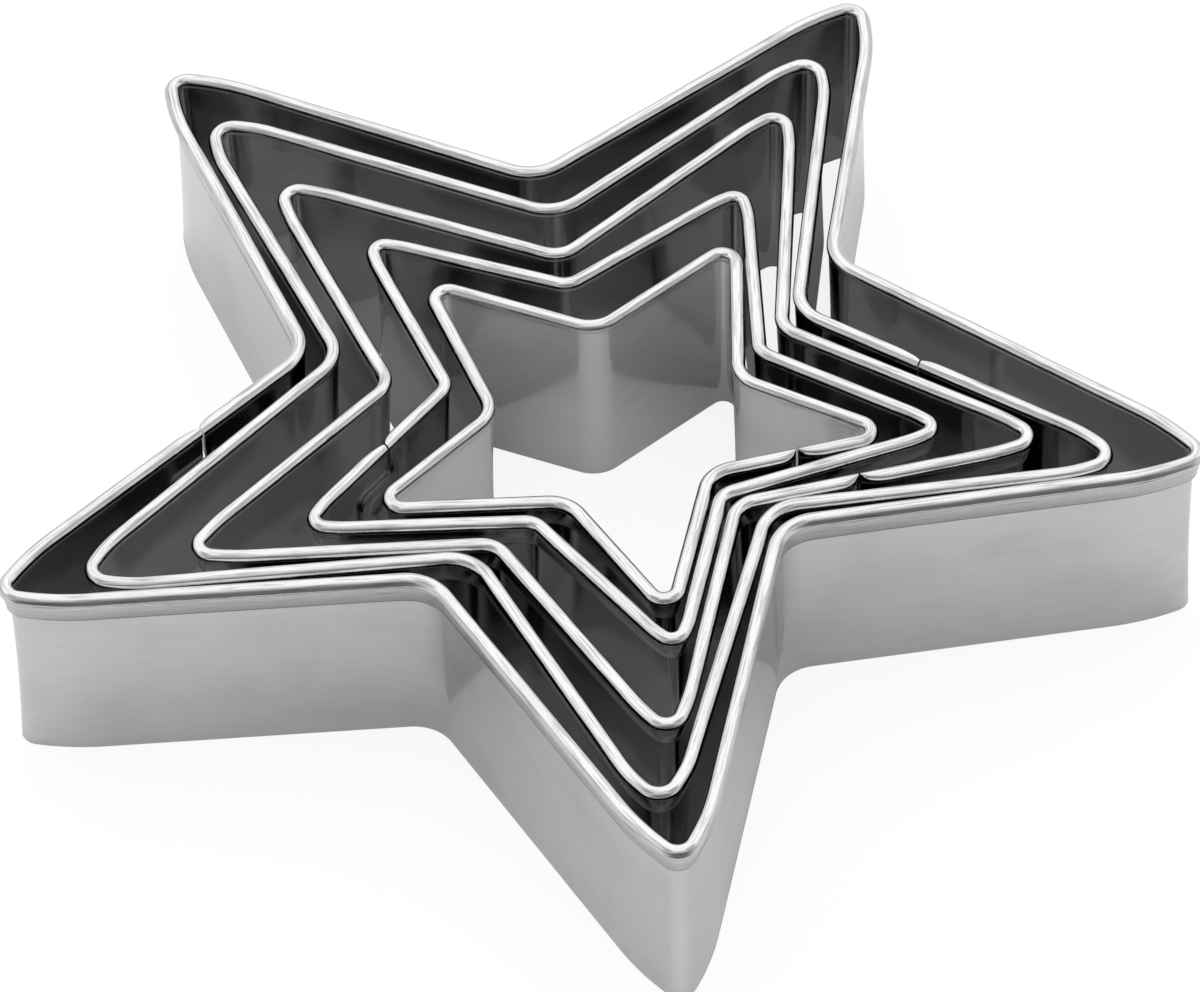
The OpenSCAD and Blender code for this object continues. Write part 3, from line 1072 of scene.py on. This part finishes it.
@dataclass(frozen=True)
class Studio:
    """A white table, plain soft light and the photograph's camera.

    The camera's place and aim come from fitting the five rims to the photograph. focal is the
    focal length as a multiple of the picture's width. table is the width of the table and
    table_front its front edge. camera_lift and metal_lift are how far the camera and metal see
    it as plain white. tent is the light's grey from the camera's side to the far one, and low
    is the same from below to above. flag is the direction of the grey flag at the right, which
    the left one mirrors, and flag_stops is the light's grey towards them.
    """

    eye: tuple[float, float, float] = (-51.4, -433.1, 472.2)
    aim: tuple[float, float, float] = (-0.13, -9.53, 20.7)
    roll: float = 1.512
    focal: float = 6549.7 / 1200
    sensor: float = 36.0
    nearest: float = 10.0
    farthest: float = 20000.0
    table: float = 3000.0
    table_front: float = -78.0
    table_grey: float = 0.80
    table_white: float = 1.08
    camera_lift: float = 0.8
    metal_lift: float = 0.02
    backdrop_grey: float = 0.73
    tent_strength: float = 1.37
    tent: Stops = (
        (0.0, 0.22), (0.06, 0.24), (0.14, 0.50), (0.25, 0.76), (0.33, 0.92), (0.5, 0.97),
        (0.7, 1.0), (1.0, 1.0))
    low: Stops = ((0.0, 0.6), (0.5, 0.6), (0.63, 0.62), (0.74, 1.0), (1.0, 1.0))
    flag: tuple[float, float, float] = (0.66, -0.30, 0.69)
    flag_stops: Stops = ((0.0, 1.0), (0.90, 1.0), (0.965, 0.5), (1.0, 0.45))

    def camera(self) -> None:
        """Stands the camera at the photograph's place and angle."""
        eye, aim = Vector(self.eye) * MM, Vector(self.aim) * MM
        back = (eye - aim).normalized()
        level = Vector((0.0, 0.0, 1.0)).cross(back).normalized()
        turn = Matrix((level, back.cross(level), back)).transposed()
        data = bpy.data.cameras.new("camera")
        data.sensor_width = self.sensor
        data.lens = self.focal * self.sensor
        data.clip_start, data.clip_end = self.nearest * MM, self.farthest * MM
        camera = bpy.data.objects.new("camera", data)
        tilt = Matrix.Rotation(np.radians(-self.roll), 3, "Z")
        camera.matrix_world = Matrix.Translation(eye) @ (turn @ tilt).to_4x4()
        bpy.context.scene.collection.objects.link(camera)
        bpy.context.scene.camera = camera

    def floor(self) -> None:
        """Lays the white table, which takes the shadow and ends a little in front of the nest.

        The camera sees it part way to plain white, metal and glass only a little.
        """
        half, front = self.table * MM / 2, self.table_front * MM
        corners = [(-half, front, 0.0), (half, front, 0.0), (half, half, 0.0), (-half, half, 0.0)]
        mesh = bpy.data.meshes.new("table")
        mesh.from_pydata(corners, [], [(0, 1, 2, 3)])
        table = bpy.data.objects.new("table", mesh)
        bpy.context.scene.collection.objects.link(table)
        material = bpy.data.materials.new("white_table")
        g = Graph(material)
        path = g.node("ShaderNodeLightPath", {}, {})
        rays = ("Is Camera Ray", "Is Glossy Ray", "Is Transmission Ray")
        camera, glossy, clear = (Wire(g, path.outputs[ray]) for ray in rays)
        seen = camera * self.camera_lift + glossy.largest(clear) * self.metal_lift
        diffuse = g.node("ShaderNodeBsdfDiffuse", {}, {"Color": grey(self.table_grey)})
        white = g.node(
            "ShaderNodeEmission", {}, {"Color": grey(1.0), "Strength": self.table_white})
        both = g.node(
            "ShaderNodeMixShader", {}, {0: seen, 1: diffuse.outputs[0], 2: white.outputs[0]})
        g.node("ShaderNodeOutputMaterial", {}, {"Surface": both.outputs[0]})
        mesh.materials.append(material)

    def world(self) -> None:
        """Puts the table into a white light tent that is open, and so darker, towards the camera.

        It is greyer near the horizon, and a grey flag hangs at either side. The camera itself
        sees plain white.
        """
        world = bpy.data.worlds.new("studio")
        bpy.context.scene.world = world
        g = Graph(world)
        direction = g.node("ShaderNodeTexCoord", {}, {}).outputs["Generated"]
        split = g.node("ShaderNodeSeparateXYZ", {}, {"Vector": direction})
        side, depth, up = (Wire(g, split.outputs[key]) for key in "XYZ")
        across, back, height = self.flag
        towards_flag = side.largest(0.0 - side) * across + depth * back + up * height
        light = g.ramp(self.tent, depth.halved()) * g.ramp(self.flag_stops, towards_flag)
        light = light * g.ramp(self.low, up.halved())
        path = g.node("ShaderNodeLightPath", {}, {})
        seen = g.mix(path.outputs["Is Camera Ray"], light, grey(self.backdrop_grey))
        background = g.node(
            "ShaderNodeBackground", {}, {"Color": seen, "Strength": self.tent_strength})
        g.node("ShaderNodeOutputWorld", {}, {"Surface": background.outputs[0]})

    def build(self) -> None:
        """Sets up everything that isn't part of the object."""
        bpy.context.scene.view_settings.view_transform = "Standard"
        self.camera()
        self.floor()
        self.world()


def reaches(
    largest: tuple[float, float], clear: Sequence[tuple[float, float]], rim_d: float
) -> list[tuple[float, float]]:
    """How far the tips and the notches of nested stars reach, from the largest inwards.

    Square to a flank, the middle lines of two neighbouring rims lie rim_d and the clear space
    apart. A tip lies that much over sin(half) further in than the outer star's, where half is
    half the angle of a regular star's tip, and a notch that much over sin(half + 36 degrees).

    Args:
        largest: the reach of the largest star's tips and notches.
        clear: the clear space beside the tips and beside the notches of each inner star.
        rim_d: the rim's thickness.

    Returns:
        For each star the reach of its tips and notches, to a hundredth of a millimetre.
    """
    found, (tip, notch) = [largest], largest
    sector = np.radians(360 / Star.corners)
    for tip_gap, notch_gap in clear:
        half = np.arctan2(notch * np.sin(sector), tip - notch * np.cos(sector))
        tip -= (rim_d + tip_gap) / np.sin(half)
        notch -= (rim_d + notch_gap) / np.sin(half + sector)
        found.append((round(float(tip), 2), round(float(notch), 2)))
    return found


LARGEST_REACH = (64.5, 28.0)  # of the tips and of the notches
CLEAR_SPACE = ((1.9, 2.2), (2.6, 2.15), (3.25, 1.75), (1.6, 2.75))  # in the same order
REACH = reaches(LARGEST_REACH, CLEAR_SPACE, Sheet.rim_d)
STARS = {
    "largest_cutter": Star(
        reach=REACH[0], place=(0.0, 0.0), turn=0.0,
        tip_r=1.6, flank_r=26.0, flank_l=12.5, notch_r=4.5, seam_corner=8, seam_at=31.4,
        out_steps=(0, 4, 0, 5, 0, -5, 2, 4, 2, -4),
        side_steps=(-2, 2, 0, 16, -2, 2, 4, -2, 0, 0)),
    "large_cutter": Star(
        reach=REACH[1], place=(0.0, -1.0), turn=0.5,
        tip_r=1.8, flank_r=14.0, flank_l=9.5, notch_r=4.3, seam_corner=3, seam_at=13.9,
        out_steps=(2, 2, -2, -2, -2, -1, 2, 0, 0, 0),
        side_steps=(0, -4, 2, 0, -6, 6, -2, 4, 2, -4)),
    "middle_cutter": Star(
        reach=REACH[2], place=(1.0, -2.5), turn=1.5,
        tip_r=1.5, flank_r=24.0, flank_l=8.0, notch_r=2.8, seam_corner=4, seam_at=19.9,
        out_steps=(0, 0, 4, 2, -2, -2, 0, 4, -2, 0),
        side_steps=(2, 0, 4, 0, 2, -2, 0, 0, -2, 2)),
    "small_cutter": Star(
        reach=REACH[3], place=(2.0, -3.0), turn=3.0,
        tip_r=1.2, flank_r=12.0, flank_l=5.0, notch_r=2.1, seam_corner=8, seam_at=13.3,
        out_steps=(0, 0, -2, -1, 0, 0, 0, 2, 0, -4),
        side_steps=(-2, 2, 0, -6, 0, -6, 2, 2, 0, -2)),
    "smallest_cutter": Star(
        reach=REACH[4], place=(3.5, -5.0), turn=2.5,
        tip_r=1.4, flank_r=20.0, flank_l=4.0, notch_r=3.3, seam_corner=4, seam_at=9.9,
        out_steps=(0, 0, -3, 0, -3, -3, -2, 2, 0, 2),
        side_steps=(0, 2, 1, -4, 2, 0, -2, 0, -4, 4)),
}


def box_middle(star: Star) -> np.ndarray:
    """The middle of a star's box in plan, from the circles at its tips."""
    tips = np.array([star.bends(i)[1][0] for i in range(0, star.corners, 2)])
    return (tips.max(axis=0) + tips.min(axis=0)) / 2


def main() -> None:
    """Builds the five cutters and the studio."""
    logging.basicConfig(level=logging.INFO, format="%(message)s")
    sheet, seam = Sheet(), Seam()
    middle = box_middle(STARS["largest_cutter"])
    steel = SheetSteel().material()
    for seed, (name, star) in enumerate(STARS.items()):
        Cutter(name, star, sheet, seam, middle, Wave(seed=seed)).build(steel)
    Studio().build()


if __name__ == "__main__":
    main()
